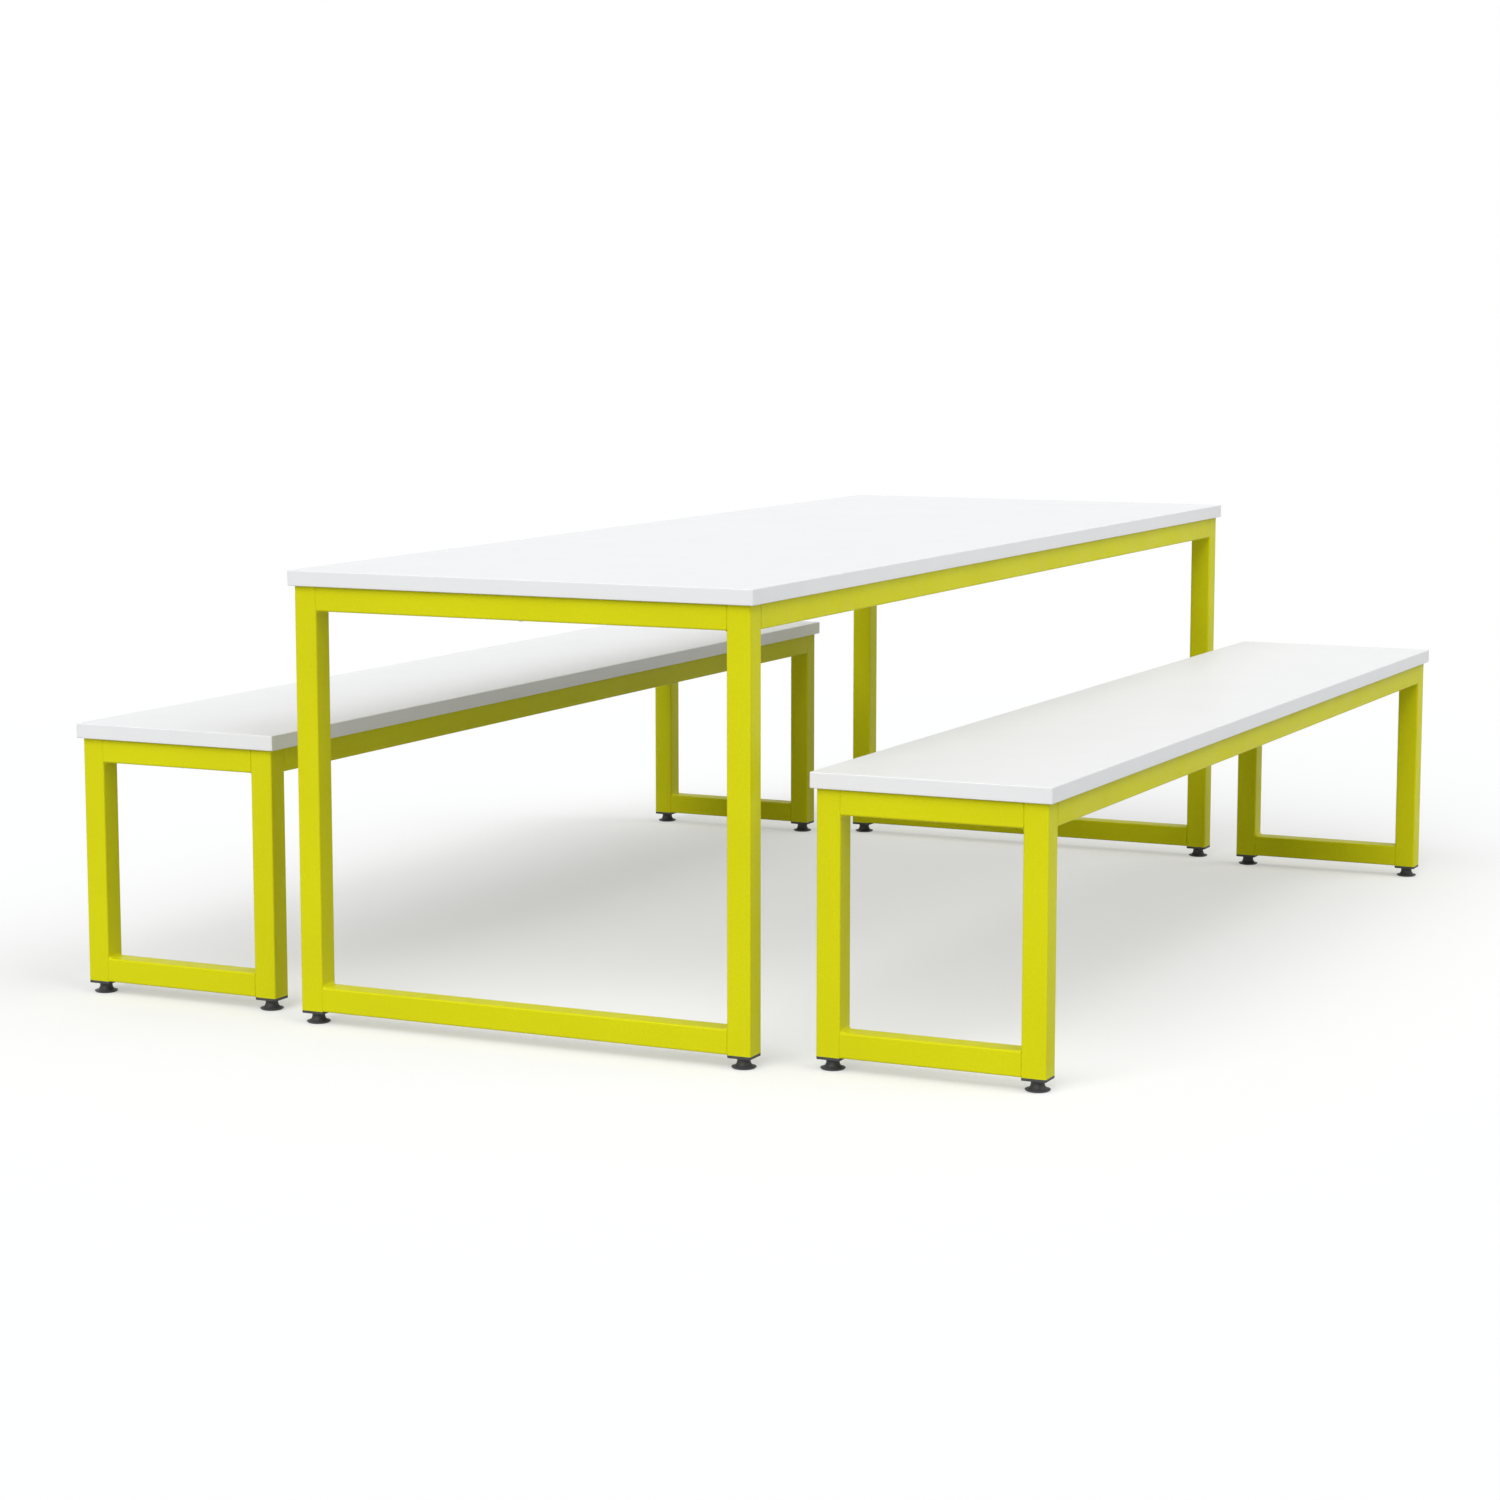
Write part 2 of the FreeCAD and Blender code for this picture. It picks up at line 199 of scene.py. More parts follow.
def plastic_edging():
    """The smoother strip round a board."""
    strip = Finish("white_plastic_edging", Specular_IOR_Level=0.9)
    clouds = strip.noise(90 * MM)
    patches = strip.noise(30 * MM)
    grain = strip.noise(0.9 * MM)
    strip.colour(clouds, EDGING_WHITE, EDGING_WHITE_SHADE)
    strip.roughness(patches, low=0.38, high=0.46)
    strip.skin((grain, 0.012 * MM))
    return strip.material


white_face = melamine()
white_edging = plastic_edging()
for finish in (white_face, white_edging):
    print(finish.name, "has", len(finish.node_tree.nodes), "nodes")

# %% [markdown]
# ## Black plastic and zinc
# The plugs and feet are moulded in black plastic from a finely blasted mould, so they are dull and
# slightly grey. A pure black would lose their shape in the shade. The screws, nuts and studs are
# steel with a thin bright zinc plating, whose gloss is patchy: a metal shader, with small patches
# in its roughness, shows that.

# %% Moulded plastic and plated steel
PLASTIC_BLACK = (0.044, 0.044, 0.045)
PLASTIC_GREY = (0.056, 0.056, 0.057)
ZINC_BRIGHT = (0.74, 0.75, 0.76)
ZINC_DULL = (0.62, 0.63, 0.65)


def moulded_plastic():
    """Dull plastic with the grain of its mould."""
    plastic = Finish("black_moulded_plastic", Specular_IOR_Level=0.4)
    clouds = plastic.noise(12 * MM)
    patches = plastic.noise(6 * MM)
    grain = plastic.noise(0.4 * MM)
    plastic.colour(clouds, PLASTIC_BLACK, PLASTIC_GREY)
    plastic.roughness(patches, low=0.45, high=0.6)
    plastic.skin((grain, 0.03 * MM))
    return plastic.material


def zinc_plate():
    """Bright plating with patches of less gloss."""
    zinc = Finish("zinc_plated_steel", Metallic=1.0)
    clouds = zinc.noise(4 * MM)
    patches = zinc.noise(2 * MM)
    grain = zinc.noise(0.3 * MM)
    zinc.colour(clouds, ZINC_BRIGHT, ZINC_DULL)
    zinc.roughness(patches, low=0.24, high=0.42)
    zinc.skin((grain, 0.006 * MM))
    return zinc.material


black_plastic = moulded_plastic()
zinc_steel = zinc_plate()
for finish in (black_plastic, zinc_steel):
    print(finish.name, "has", len(finish.node_tree.nodes), "nodes")

# %% [markdown]
# ## Dress the parts of the frame
# Most parts of the engineering model have the right shape already, down to the rounded corners of
# the tube. They could be made again here, but nothing would be gained, so they stay as they are.
# Each gets its finish by the last word in its name that says what it is.

# %% Finishes by part
FINISH_OF = {
    "rail": yellow_coat, "leg": yellow_coat, "welds": yellow_coat,
    "panel": white_face, "strips": white_edging,
    "plugs": black_plastic, "foot": black_plastic,
    "nuts": zinc_steel, "screws": zinc_steel}


def finish_of(name):
    """The finish of a part, by its name."""
    for word in reversed(name.split("_")):
        if word in FINISH_OF:
            return FINISH_OF[word]
    raise ValueError(f"no finish for {name}")


for name, part in nodes.items():
    part.data.materials.clear()
    part.data.materials.append(finish_of(name))
print("dressed", len(nodes), "parts")

# %% [markdown]
# ## Small parts, and what they are made from
# The welds, screws and feet are remade in finer detail than the engineering model has them. They
# could be modelled by hand from cylinders, but all of them come more easily from one idea: a row of
# rings, joined to each other and closed at both ends. A weld gives rings along its run, a lathe
# gives round rings, and a thread is a lathe whose rings climb as they go round.

# %% From rings to a part of the set
CREASE = 40  # degrees


def skin_over(bm, rings):
    """Join rings of points into a closed skin."""
    rows = [[bm.verts.new(point) for point in ring] for ring in rings]
    for row, following in zip(rows, rows[1:]):
        for number in range(len(row)):
            before = number - 1
            bm.faces.new((row[before], row[number], following[number], following[before]))
    bm.faces.new(reversed(rows[0]))
    bm.faces.new(rows[-1])


def finished_mesh(name, bm, finish, crease=CREASE):
    """A mesh with a finish, smooth but for its edges sharper than the crease angle."""
    bmesh.ops.recalc_face_normals(bm, faces=bm.faces)
    mesh = bpy.data.meshes.new(name)
    bm.to_mesh(mesh)
    bm.free()
    mesh.materials.append(finish)
    mesh.shade_smooth()
    mesh.set_sharp_from_angle(angle=math.radians(crease))
    return mesh


def add_part(name, mesh, body, node, place=(0, 0, 0)):
    """Put a part in the set: it rides on a body and stands for a node, which it hides."""
    part = bpy.data.objects.new(name, mesh)
    part.location = place
    bpy.context.scene.collection.objects.link(part)
    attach(part, body)
    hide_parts(node)


print("an edge of a small part stays crisp beyond", CREASE, "degrees")

# %% [markdown]
# ## Joints
# Each rail is butted to a leg at both ends and welded there. The places could be typed in, but the
# engineering model knows them: the box of a rail gives its two ends. A weld is as long as the flat
# side of the tube, between its round corners.

# %% Joints between rails and legs
FURNITURE = ("table", "left_bench", "right_bench")
TUBE_CORNER = 3 * MM
ALONG_X, ALONG_Y = 0, 1
UP = Vector((0, 0, 1))
RAILS = {  # the axis of each rail, and the way that its inner corner faces
    "top_end_rail_near": (ALONG_Y, -UP), "top_end_rail_far": (ALONG_Y, -UP),
    "bottom_end_rail_near": (ALONG_Y, UP), "bottom_end_rail_far": (ALONG_Y, UP),
    "side_rail_left": (ALONG_X, -UP), "side_rail_right": (ALONG_X, -UP)}


def rail_joints(item):
    """The joints of a frame: the middle of each, the way of its rail, and the way its corner faces."""
    for rail, (axis, corner_faces) in RAILS.items():
        low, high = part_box(f"{item}_{rail}")
        for end, way in ((low, 1), (high, -1)):
            joint = (low + high) / 2
            joint[axis] = end[axis]
            along = Vector((0, 0, 0))
            along[axis] = way
            yield joint, along, corner_faces


low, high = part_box("table_top_end_rail_near")
TUBE_SIDE = high.z - low.z
FLAT_SIDE = TUBE_SIDE - 2 * TUBE_CORNER
print(f"the tube is {TUBE_SIDE / MM:.1f} mm square, and a weld {FLAT_SIDE / MM:.1f} mm long")
print(sum(len(list(rail_joints(item))) for item in FURNITURE), "joints")

# %% [markdown]
# ## Fillet welds
# In the inner corner of a joint the weld is a hollow fillet, with the ripples that the torch left,
# softened by the paint. A plain hollow with ripples in its bump would look flat from near. So the
# fillet is made of rings along its run. Each ring is an arc, and the ripples bow forward in its
# middle as they do on a real weld. At both ends the fillet is rounded off.

# %% Section of a fillet
FILLET_LEG = 5 * MM  # how far it reaches along each tube
FILLET_HOLLOW = 1.9 * MM  # how far the middle of its arc is from both tubes
FILLET_END = 3 * MM
FILLET_TIP = 0.02  # keeps the last ring from closing to a point
ARC_STEPS = 6  # on each side of the middle of the arc
RIPPLE = 0.22 * MM
RIPPLE_PITCH = 2.8 * MM
UNDER_PAINT = 0.1 * MM  # how far a weld reaches into the tubes, so that no gap is left

# The arc goes through the ends of both legs and the middle of the hollow.
ARC_CENTRE = (FILLET_LEG ** 2 - 2 * FILLET_HOLLOW ** 2) / (2 * FILLET_LEG - 4 * FILLET_HOLLOW)
ARC_RADIUS = math.sqrt(2) * (ARC_CENTRE - FILLET_HOLLOW)
ARC_MIDDLE = math.radians(225)
ARC_HALF = math.radians(45) - math.asin((ARC_CENTRE - FILLET_LEG) / ARC_RADIUS)


def fillet_size(run):
    """The share of its full size that a fillet has at a place along its run."""
    past_end = max(0, (abs(run) - FLAT_SIDE / 2 + FILLET_END) / FILLET_END)
    return math.sqrt(max(FILLET_TIP, 1 - past_end ** 2))


def fillet_ring(run):
    """The section of a fillet at a place along its run."""
    size = fillet_size(run)
    section = [(-UNDER_PAINT, -UNDER_PAINT)]
    for step in range(-ARC_STEPS, ARC_STEPS + 1):
        share = step / ARC_STEPS
        bow = 1 - share ** 2
        swell = RIPPLE * bow * abs(math.sin(math.pi * (run / RIPPLE_PITCH - bow)))
        reach = ARC_RADIUS - swell
        angle = ARC_MIDDLE - ARC_HALF * share
        x = ARC_CENTRE + reach * math.cos(angle)
        y = ARC_CENTRE + reach * math.sin(angle)
        section.append((size * x, size * y))
    return section


print(f"the fillet's arc has a radius of {ARC_RADIUS / MM:.1f} mm")

# %% [markdown]
# ## Ground seams
# On the two flush faces of a joint the weld fills the groove between the leg's round corner and the
# rail's square end, and is ground down until only a fine line can be seen. A dark line could be
# painted there, but it would be dark in any light. So the seam is a real filling that stops about a
# millimetre below the face, and its top waves a little.

# %% Section of a seam
SEAM_TOP = 1.1 * MM  # depths below the flush face
SEAM_ROOT = 2.2 * MM
SEAM_WAVE = 0.1 * MM
SHORT_WAVE = 700  # radians in a metre of seam
LONG_WAVE = 290


def leg_side(depth):
    """Where the leg's round corner is, measured from the rail's end, at a depth in the groove."""
    round_corner = math.sqrt(TUBE_CORNER ** 2 - (TUBE_CORNER - depth) ** 2)
    return round_corner - TUBE_CORNER


def seam_ring(run):
    """The section of a ground seam at a place along its run."""
    top = SEAM_TOP + SEAM_WAVE * math.sin(SHORT_WAVE * run) * math.cos(LONG_WAVE * run)
    middle = (top + SEAM_ROOT) / 2
    on_leg = [(-depth, leg_side(depth) - UNDER_PAINT) for depth in (top, middle, SEAM_ROOT)]
    return [(-top, UNDER_PAINT), *on_leg, (-SEAM_ROOT, UNDER_PAINT)]


print(f"the groove is {-leg_side(SEAM_TOP) / MM:.2f} mm wide at the top of the seam")

# %% [markdown]
# ## Weld every joint
# A joint has one fillet and two seams. The same two sections serve them all: a weld is told where it
# is based and the two directions that its section is drawn along, and its run is square to both. All
# the welds of a frame are one mesh, because on the real frame they are one with the tube.

# %% Welds
FILLET_STEPS = 72
SEAM_STEPS = 24


def weld(bm, ring, steps, base, first, second):
    """Add a weld, with its rings drawn from its base along two directions."""
    along = first.cross(second)
    runs = [FLAT_SIDE * (step / steps - 0.5) for step in range(steps + 1)]
    rings = [[base + along * run + first * x + second * y for x, y in ring(run)] for run in runs]
    skin_over(bm, rings)


for item in FURNITURE:
    bm = bmesh.new()
    for joint, along, corner_faces in rail_joints(item):
        across = along.cross(corner_faces)
        weld(bm, fillet_ring, FILLET_STEPS, joint + corner_faces * TUBE_SIDE / 2, along, corner_faces)
        for face in (across, -across):
            weld(bm, seam_ring, SEAM_STEPS, joint + face * TUBE_SIDE / 2, face, along)
    beads = finished_mesh(f"{item}_weld_beads", bm, yellow_coat)
    add_part(f"{item}_weld_beads", beads, item, f"{item}_welds")
    print(f"{item}: {len(beads.polygons)} faces of weld")

# %% [markdown]
# ## Threads
# A thread is a ridge that winds round a rod. Blender's Screw modifier could wind it, but would leave
# its ends open. Here rows of points go round the rod and climb one pitch in each turn, which keeps
# the crest of the ridge a clean line. At both ends the ridge sinks into the rod, and the rows are
# held level there, so that the last ones fall together and the rod can be closed flat.

# %% Threaded rod
Rod = namedtuple("Rod", "core ridge pitch bottom top")
RIDGE = ((0.0, 0), (0.35, 1), (0.5, 1), (0.85, 0))  # shares of a pitch, and of the ridge's height
THREAD_STEPS = 32
THREAD_CREASE = 25  # degrees
SAME_POINT = 0.0001 * MM


def on_circle(radius, angle, height):
    """A point beside the upright axis."""
    return Vector((radius * math.cos(angle), radius * math.sin(angle), height))


def thread_point(rod, start, rise, step):
    """A point of the row that starts at a height and lies on the ridge at a share of its rise."""
    climb = step / THREAD_STEPS
    height = min(rod.top, max(rod.bottom, start + rod.pitch * climb))
    run_out = min(1, (height - rod.bottom) / rod.pitch, (rod.top - height) / rod.pitch)
    return on_circle(rod.core + rod.ridge * rise * run_out, 2 * math.pi * climb, height)


def thread_rows(rod):
    """The rows of points that wind round a rod, with a turn to spare at both ends."""
    for turn in range(-1, math.ceil((rod.top - rod.bottom) / rod.pitch) + 1):
        for share, rise in RIDGE:
            start = rod.bottom + rod.pitch * (turn + share)
            yield [thread_point(rod, start, rise, step) for step in range(THREAD_STEPS + 1)]


def rod_mesh(name, rod):
    """A threaded rod, closed at both ends."""
    bm = bmesh.new()
    rows = [[bm.verts.new(point) for point in row] for row in thread_rows(rod)]
    for row, following in zip(rows, rows[1:]):
        for step in range(THREAD_STEPS):
            bm.faces.new((row[step], row[step + 1], following[step + 1], following[step]))
    bmesh.ops.remove_doubles(bm, verts=bm.verts, dist=SAME_POINT)
    open_edges = [edge for edge in bm.edges if edge.is_boundary]
    bmesh.ops.holes_fill(bm, edges=open_edges, sides=0)
    return finished_mesh(name, bm, zinc_steel, THREAD_CREASE)


print("a thread has", len(RIDGE), "rows in each turn of", THREAD_STEPS, "steps")

# %% [markdown]
# ## Glides
# Each foot stands on a black glide: a flat sole, a thin rim, and a hollow flare up to a round neck.
# It could be a cylinder with loops scaled by hand. An outline turned on a lathe is surer, because
# its curves are arcs that leave the sole and the neck without a kink.

# %% Lathe
LATHE_SIDES = 48


def turn_on_lathe(bm, outline, sides=LATHE_SIDES):
    """Spin an outline of (radius, height) pairs round the upright axis."""
    angles = [2 * math.pi * step / sides for step in range(sides)]
    rings = [[on_circle(radius, angle, height) for angle in angles] for radius, height in outline]
    skin_over(bm, rings)


print("the lathe turns", LATHE_SIDES, "sides")

# %% Glide
FOOT_HEIGHT = 17.5 * MM
SOLE = 15 * MM
RIM_BOTTOM = 2.0 * MM
RIM_TOP = 3.2 * MM
RIM_ROUND = 0.3 * MM
UNDER_RIM_STEPS = 10
FLARE_STEPS = 16
NECK = 10.5 * MM
NECK_LENGTH = 5.5 * MM
NECK_BEVEL = 0.5 * MM
GLIDE_CREASE = 30  # degrees


def bend(start, heading, end, steps):
    """Points on an arc that leaves start along a heading and comes to end."""
    chord = end - start
    whole_turn = heading.angle_signed(chord)
    points = [start]
    for step in range(1, steps + 1):
        turn = whole_turn * step / steps
        reach = chord.length * math.sin(turn) / math.sin(whole_turn)
        points.append(start + Matrix.Rotation(-turn, 2) @ heading * reach)
    return points


def glide(rim):
    """The flared foot, from its sole up to its neck, with a rim of the given radius."""
    inside_rim = rim - RIM_ROUND
    outward, down = Vector((1, 0)), Vector((0, -1))
    neck_bottom = Vector((NECK, FOOT_HEIGHT - NECK_LENGTH))
    under_rim = bend(Vector((SOLE, 0)), outward, Vector((inside_rim, RIM_BOTTOM)), UNDER_RIM_STEPS)
    edge = [(rim, RIM_BOTTOM + RIM_ROUND), (rim, RIM_TOP - RIM_ROUND)]
    flare = bend(neck_bottom, down, Vector((inside_rim, RIM_TOP)), FLARE_STEPS)
    top = [(NECK, FOOT_HEIGHT - NECK_BEVEL), (NECK - NECK_BEVEL, FOOT_HEIGHT)]
    bm = bmesh.new()
    turn_on_lathe(bm, under_rim + edge + flare[::-1] + top)
    return finished_mesh("foot_glide", bm, black_plastic, GLIDE_CREASE)


foot_nodes = [name for name in nodes if "_foot_" in name]
foot_low, foot_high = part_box(foot_nodes[0])
foot_width = foot_high.x - foot_low.x
glide_mesh = glide(foot_width / 2)
print(f"a glide is {foot_width / MM:.1f} mm wide and has {len(glide_mesh.polygons)} faces")

# %% [markdown]
# ## Studs
# The glide is moulded round the end of a zinc plated stud with a 10 mm thread. The engineering model
# has glide and stud in one part, with a plain stud. Here they are two pieces with a finish each,
# because the thread shows when a foot is screwed out to level the table. All the glides share one
# mesh and all the studs another.

# %% Stud, and the feet in their places
STUD_RADIUS = 5 * MM
STUD_PITCH = 1.5 * MM
STUD_RIDGE = 0.9 * MM
STUD_ROOT = 12 * MM  # how deep it is set in the glide

stud = Rod(core=STUD_RADIUS - STUD_RIDGE, ridge=STUD_RIDGE, pitch=STUD_PITCH,
           bottom=FOOT_HEIGHT - STUD_ROOT, top=foot_high.z)
stud_mesh = rod_mesh("foot_stud", stud)
for name in foot_nodes:
    low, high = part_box(name)
    stand = ((low.x + high.x) / 2, (low.y + high.y) / 2, 0)
    add_part(f"{name}_glide", glide_mesh, name, name, stand)
    add_part(f"{name}_stud", stud_mesh, name, name, stand)
print(len(foot_nodes), "feet, each with a thread of", len(stud_mesh.polygons), "faces")

# %% [markdown]
# ## Screw heads
# Each fixing screw shows, from below, a domed head with a cross recess. The recess could be drawn in
# the mesh by hand. It is easier to cut it with a Boolean modifier: the cutter is a tapered cross,
# used once.

# %% Head with a cross recess
HEAD_RADIUS = 5 * MM
HEAD_SHOULDER = 0.9 * MM
HEAD_DOME = 2.1 * MM
HEAD_HEIGHT = HEAD_SHOULDER + HEAD_DOME
HEAD_BEVEL = 0.2 * MM
HEAD_SIDES = 44  # the inner corners of the cross then fall in the middle of a side
DOME_ANGLES = range(0, 90, 8)  # degrees, from the shoulder nearly to the pole
RECESS_REACH = 2.4 * MM
RECESS_WIDTH = 1.1 * MM
RECESS_DEPTH = 1.7 * MM
RECESS_TAPER = 0.55  # size of the cross at the bottom of the recess
CUTTER_BOTTOM = -1.1 * HEAD_HEIGHT  # just outside the dome


def cross_ring(share, height):
    """A cross with four arms, drawn at a share of its full size."""
    long, short = share * RECESS_REACH, share * RECESS_WIDTH / 2
    arm = [(long, -short), (long, short), (short, short)]
    turns = [Matrix.Rotation(math.pi / 2 * number, 2) for number in range(4)]
    corners = [turn @ Vector(corner) for turn in turns for corner in arm]
    return [Vector((corner.x, corner.y, height)) for corner in corners]


def domed_head():
    """A plain head that hangs below zero height."""
    bm = bmesh.new()
    outline = [(HEAD_RADIUS - HEAD_BEVEL, 0), (HEAD_RADIUS, -HEAD_BEVEL)]
    for angle in map(math.radians, DOME_ANGLES):
        outline.append((HEAD_RADIUS * math.cos(angle), -HEAD_SHOULDER - HEAD_DOME * math.sin(angle)))
    turn_on_lathe(bm, outline, HEAD_SIDES)
    return finished_mesh("domed_head", bm, zinc_steel)


def cross_cutter():
    """A tapered cross that reaches up into the head."""
    bm = bmesh.new()
    skin_over(bm, [cross_ring(1, CUTTER_BOTTOM), cross_ring(RECESS_TAPER, RECESS_DEPTH - HEAD_HEIGHT)])
    return finished_mesh("cross_cutter", bm, zinc_steel)


def cut_away(block, cutter):
    """What is left of a block's mesh when a cutter's is taken out of it."""
    tools = [bpy.data.objects.new(mesh.name, mesh) for mesh in (block, cutter)]
    for tool in tools:
        bpy.context.scene.collection.objects.link(tool)
    tools[0].modifiers.new("cut", "BOOLEAN").object = tools[1]
    ready = tools[0].evaluated_get(bpy.context.evaluated_depsgraph_get())
    left = bpy.data.meshes.new_from_object(ready)
    for tool in tools:
        bpy.data.objects.remove(tool)
    return left


head_mesh = cut_away(domed_head(), cross_cutter())
print("a screw head has", len(head_mesh.polygons), "faces")

# %% [markdown]
# ## Fixing screws
# Eight screws go up through the top rails of each frame into its board: one in each end rail and
# three in each side rail. Each could be an object of its own, but they never move apart, so the
# screw is made once, copied to its places under a frame, and kept as one mesh.

# %% Screws
SHANK_CORE = 1.7 * MM
SHANK_RIDGE = 0.8 * MM
SHANK_PITCH = 2.2 * MM
SHANK_ROOT = 0.5 * MM  # how deep it is set in the head
BITE = 18 * MM  # how far it goes into the board
END_MARGIN = 150 * MM


def screw_places(item):
    """The points under a frame's top rails where its screws go in."""
    for end in ("near", "far"):
        low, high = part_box(f"{item}_top_end_rail_{end}")
        yield Vector(((low.x + high.x) / 2, (low.y + high.y) / 2, low.z))
    for side in ("left", "right"):
        low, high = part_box(f"{item}_side_rail_{side}")
        for x in (low.x + END_MARGIN, (low.x + high.x) / 2, high.x - END_MARGIN):
            yield Vector((x, (low.y + high.y) / 2, low.z))


shank = Rod(core=SHANK_CORE, ridge=SHANK_RIDGE, pitch=SHANK_PITCH,
            bottom=-SHANK_ROOT, top=TUBE_SIDE + BITE)
shank_mesh = rod_mesh("screw_shank", shank)
for item in FURNITURE:
    bm = bmesh.new()
    for place in screw_places(item):
        first_new = len(bm.verts)
        bm.from_mesh(head_mesh)
        bm.from_mesh(shank_mesh)
        bm.verts.ensure_lookup_table()
        bmesh.ops.translate(bm, verts=bm.verts[first_new:], vec=place)
    screws = finished_mesh(f"{item}_screws", bm, zinc_steel, THREAD_CREASE)
    add_part(f"{item}_screws", screws, item, f"{item}_fixing_screws")
    print(f"{item}: {len(screws.polygons)} faces of screw")

# %% [markdown]
# ## Floor
# The set stands on a white studio floor. A curved backdrop could hide the horizon, but its edge
# would show from other sides, so the floor is wide and flat. Near the set it is a pale matt surface
# that shows the soft shadow. Further out it fades to pure white, for the camera and for what shiny
# parts mirror. The light that it throws back on the set is that of a greyer floor, so the undersides
# stay in shade. From below it is clear, and the feet can be looked at from there.

# %% Finish of the floor
FLOOR_WHITE = 0.98
FLOOR_BOUNCE = 0.50
FLOOR_LIFT = 0.4  # the share of pure white that the floor has near the set
FADE_START = 2.6  # metres from the middle of the set
FADE_END = 4.5


def matt(tree, tone):
    """A matt shader in a tone between black and white."""
    return add_node(tree, "ShaderNodeBsdfDiffuse", Color=(tone, tone, tone, 1)).outputs["BSDF"]


def mixed(tree, factor, first, second):
    """The first shader where the factor is zero, and the second one where it is one."""
    mix = add_node(tree, "ShaderNodeMixShader")
    for socket, source in zip(mix.inputs, (factor, first, second)):
        tree.links.new(source, socket)
    return mix.outputs["Shader"]


def looked_at(tree):
    """One for a ray that looks, also by a mirror or through glass, and zero for one that lights."""
    ray = add_node(tree, "ShaderNodeLightPath")
    looked = ray.outputs["Is Camera Ray"]
    for other in ("Is Glossy Ray", "Is Transmission Ray"):
        either = add_node(tree, "ShaderNodeMath")
        either.operation = "MAXIMUM"
        tree.links.new(looked, either.inputs[0])
        tree.links.new(ray.outputs[other], either.inputs[1])
        looked = either.outputs["Value"]
    return looked


def far_out(tree):
    """The share of pure white, which grows to one with the distance from the set."""
    place = add_node(tree, "ShaderNodeTexCoord").outputs["Object"]
    distance = add_node(tree, "ShaderNodeVectorMath")
    distance.operation = "LENGTH"
    tree.links.new(place, distance.inputs[0])
    fade = add_node(tree, "ShaderNodeMapRange", From_Min=FADE_START, From_Max=FADE_END,
                    To_Min=FLOOR_LIFT)
    fade.interpolation_type = "SMOOTHSTEP"
    tree.links.new(distance.outputs["Value"], fade.inputs["Value"])
    return fade.outputs["Result"]


def floor_finish():
    """Pale and matt near the set, white further out, and clear from below."""
    material = bpy.data.materials.new("studio_floor")
    material.use_nodes = True
    tree = material.node_tree
    tree.nodes.clear()
    white = add_node(tree, "ShaderNodeEmission").outputs["Emission"]
    clear = add_node(tree, "ShaderNodeBsdfTransparent").outputs["BSDF"]
    from_below = add_node(tree, "ShaderNodeNewGeometry").outputs["Backfacing"]
    seen = mixed(tree, far_out(tree), matt(tree, FLOOR_WHITE), white)
    upper_side = mixed(tree, looked_at(tree), matt(tree, FLOOR_BOUNCE), seen)
    surface = add_node(tree, "ShaderNodeOutputMaterial").inputs["Surface"]
    tree.links.new(mixed(tree, from_below, upper_side, clear), surface)
    return material


floor_white = floor_finish()
print(floor_white.name, "has", len(floor_white.node_tree.nodes), "nodes")

# %% Floor
FLOOR_SIZE = 60.0

mesh = bpy.data.meshes.new("studio_floor")
bm = bmesh.new()
bmesh.ops.create_grid(bm, x_segments=1, y_segments=1, size=FLOOR_SIZE / 2)
bm.to_mesh(mesh)
bm.free()
mesh.materials.append(floor_white)
floor = bpy.data.objects.new("studio_floor", mesh)
bpy.context.scene.collection.objects.link(floor)
print("the floor is", FLOOR_SIZE, "m across")

# %% [markdown]
# ## Light
# A studio for furniture is a white room: light comes from everywhere, and a little more of it from
# big soft boxes. The world is that room. Area lamps could be the boxes, but their light would fall
# off along the set, so wide soft suns stand for them.

# %% World
ROOM_LIGHT = 0.34
ROOM_COLOUR = (0.95, 0.98, 1.0, 1)
WHITE = (1, 1, 1, 1)


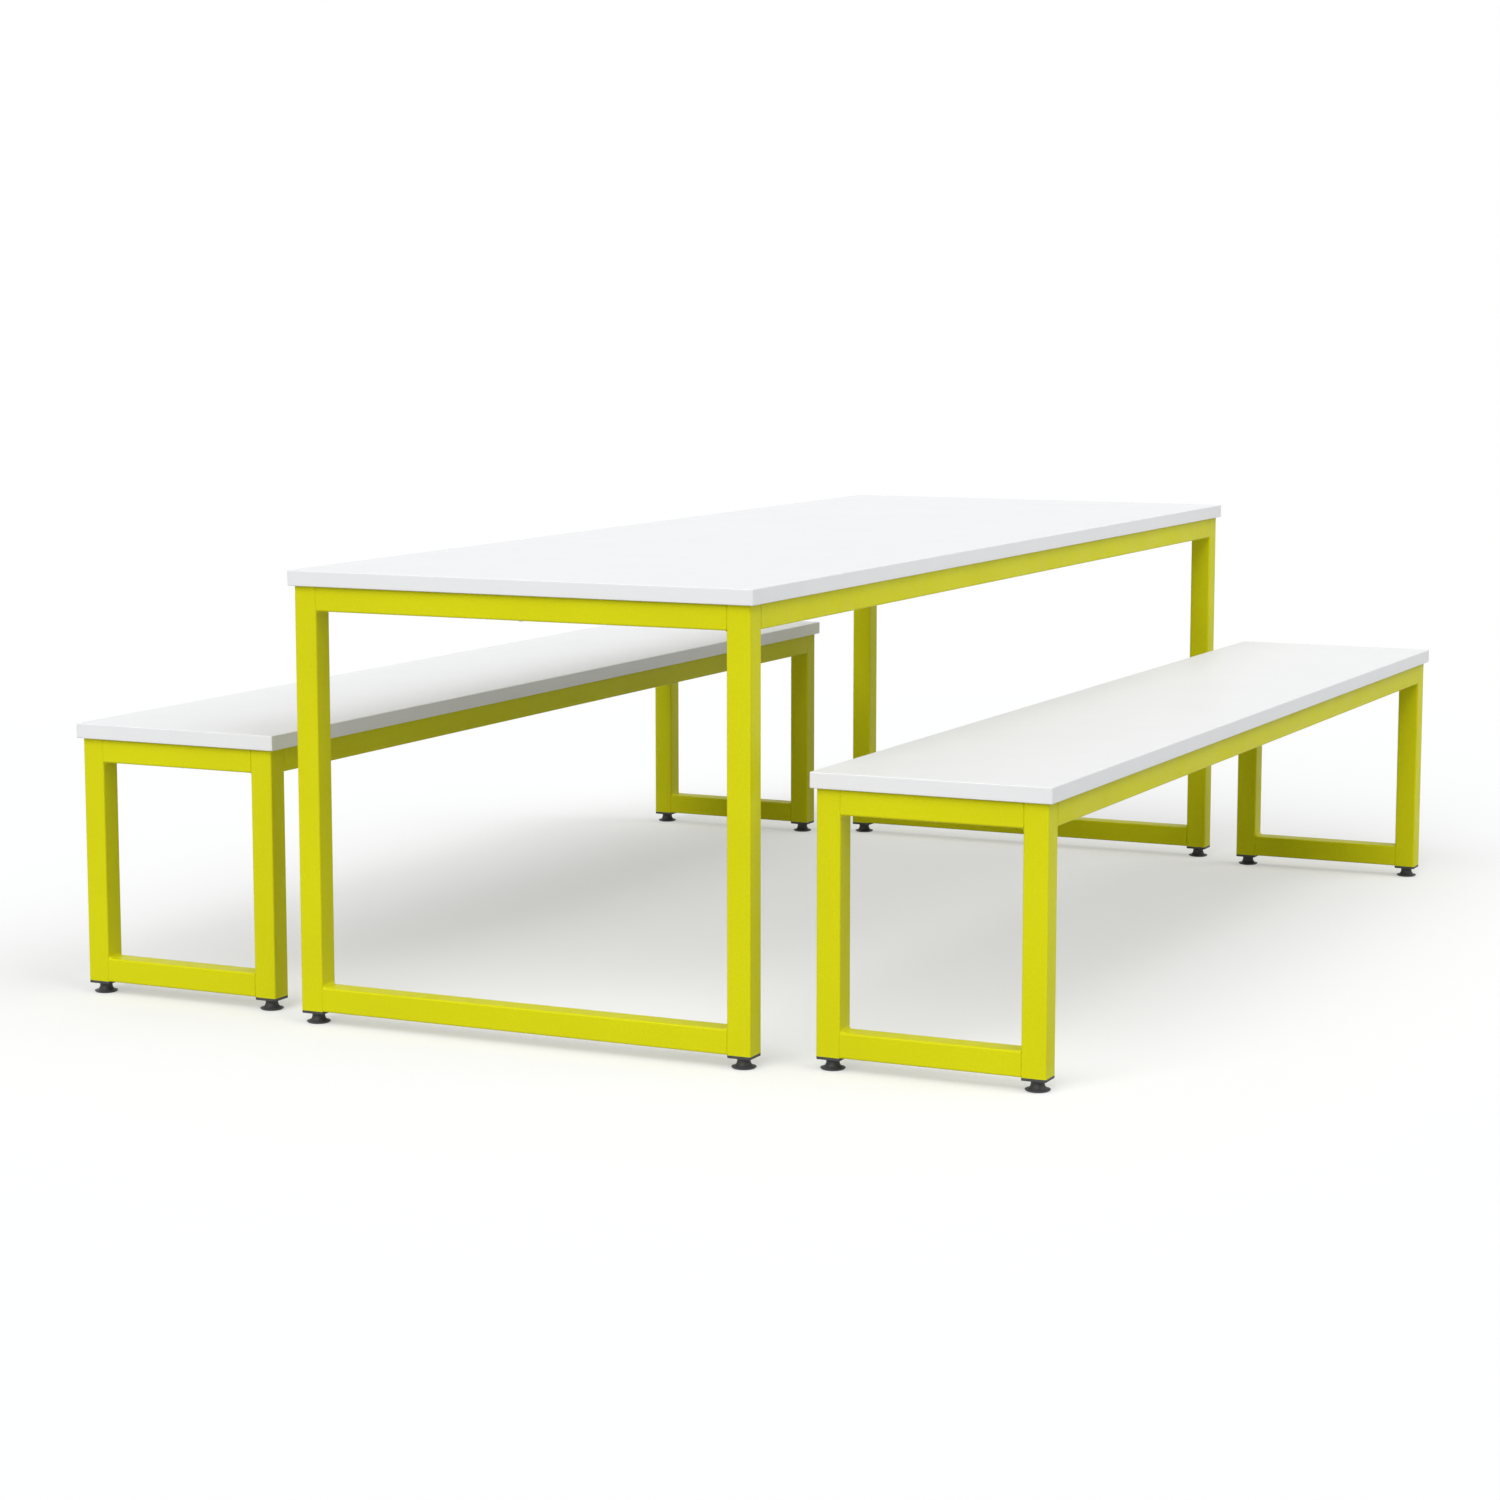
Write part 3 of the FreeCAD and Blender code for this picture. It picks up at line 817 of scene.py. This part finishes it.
def room():
    """A world that lights softly, and looks white."""
    world = bpy.data.worlds.new("white_room")
    world.use_nodes = True
    tree = world.node_tree
    lit = tree.nodes["Background"]
    set_sockets(lit, {"Color": ROOM_COLOUR, "Strength": ROOM_LIGHT})
    white = add_node(tree, "ShaderNodeBackground", Color=WHITE)
    shader = mixed(tree, looked_at(tree), lit.outputs["Background"], white.outputs["Background"])
    tree.links.new(shader, tree.nodes["World Output"].inputs["Surface"])
    return world


bpy.context.scene.world = room()
print("the room gives", ROOM_LIGHT, "of full light")

# %% Soft boxes
BOX_SPREAD = 50  # degrees
SOFT_BOXES = {  # where each one shines from, and how much light it gives
    "front_soft_box": ((-1.0, 0.0, 0.84), 0.64),
    "right_soft_box": ((0.0, -1.0, 1.2), 0.36)}


def soft_sun(name, toward, level):
    """A sun that lights a plain surface square to it to the level given."""
    lamp = bpy.data.lights.new(name, "SUN")
    lamp.angle = math.radians(BOX_SPREAD)
    lamp.energy = level * math.pi
    sun = bpy.data.objects.new(name, lamp)
    sun.rotation_euler = Vector(toward).to_track_quat("Z", "Y").to_euler()
    bpy.context.scene.collection.objects.link(sun)


for name, (toward, level) in SOFT_BOXES.items():
    soft_sun(name, toward, level)
    print(name, "gives", level, "of full light")

# %% [markdown]
# ## Camera
# The set is seen from its near right corner, at the eye height of someone who sits, and through a
# long lens, so that the upright lines stay almost upright. The camera could be aimed at the set by a
# constraint. A place and two angles are plainer, and they are what a fit to a photograph gives.

# %% Camera
CAMERA_PLACE = (-5.7421, -2.6200, 1.1827)
CAMERA_TURN = 0.44732  # radians away from the length of the set
CAMERA_TILT = 0.13327  # radians below level
LENS = 82.18  # millimetres, and so is the sensor
SENSOR = 36.0

view = bpy.data.cameras.new("photo_view")
view.lens = LENS
view.sensor_width = SENSOR
camera = bpy.data.objects.new("photo_view", view)
camera.location = CAMERA_PLACE
camera.rotation_euler = (math.pi / 2 - CAMERA_TILT, 0, CAMERA_TURN - math.pi / 2)
bpy.context.scene.collection.objects.link(camera)
bpy.context.scene.camera = camera
bpy.context.scene.view_settings.view_transform = "Standard"
print("camera at", CAMERA_PLACE)

# %% [markdown] ## Sizes The dressed set has to be as large as the engineering model.
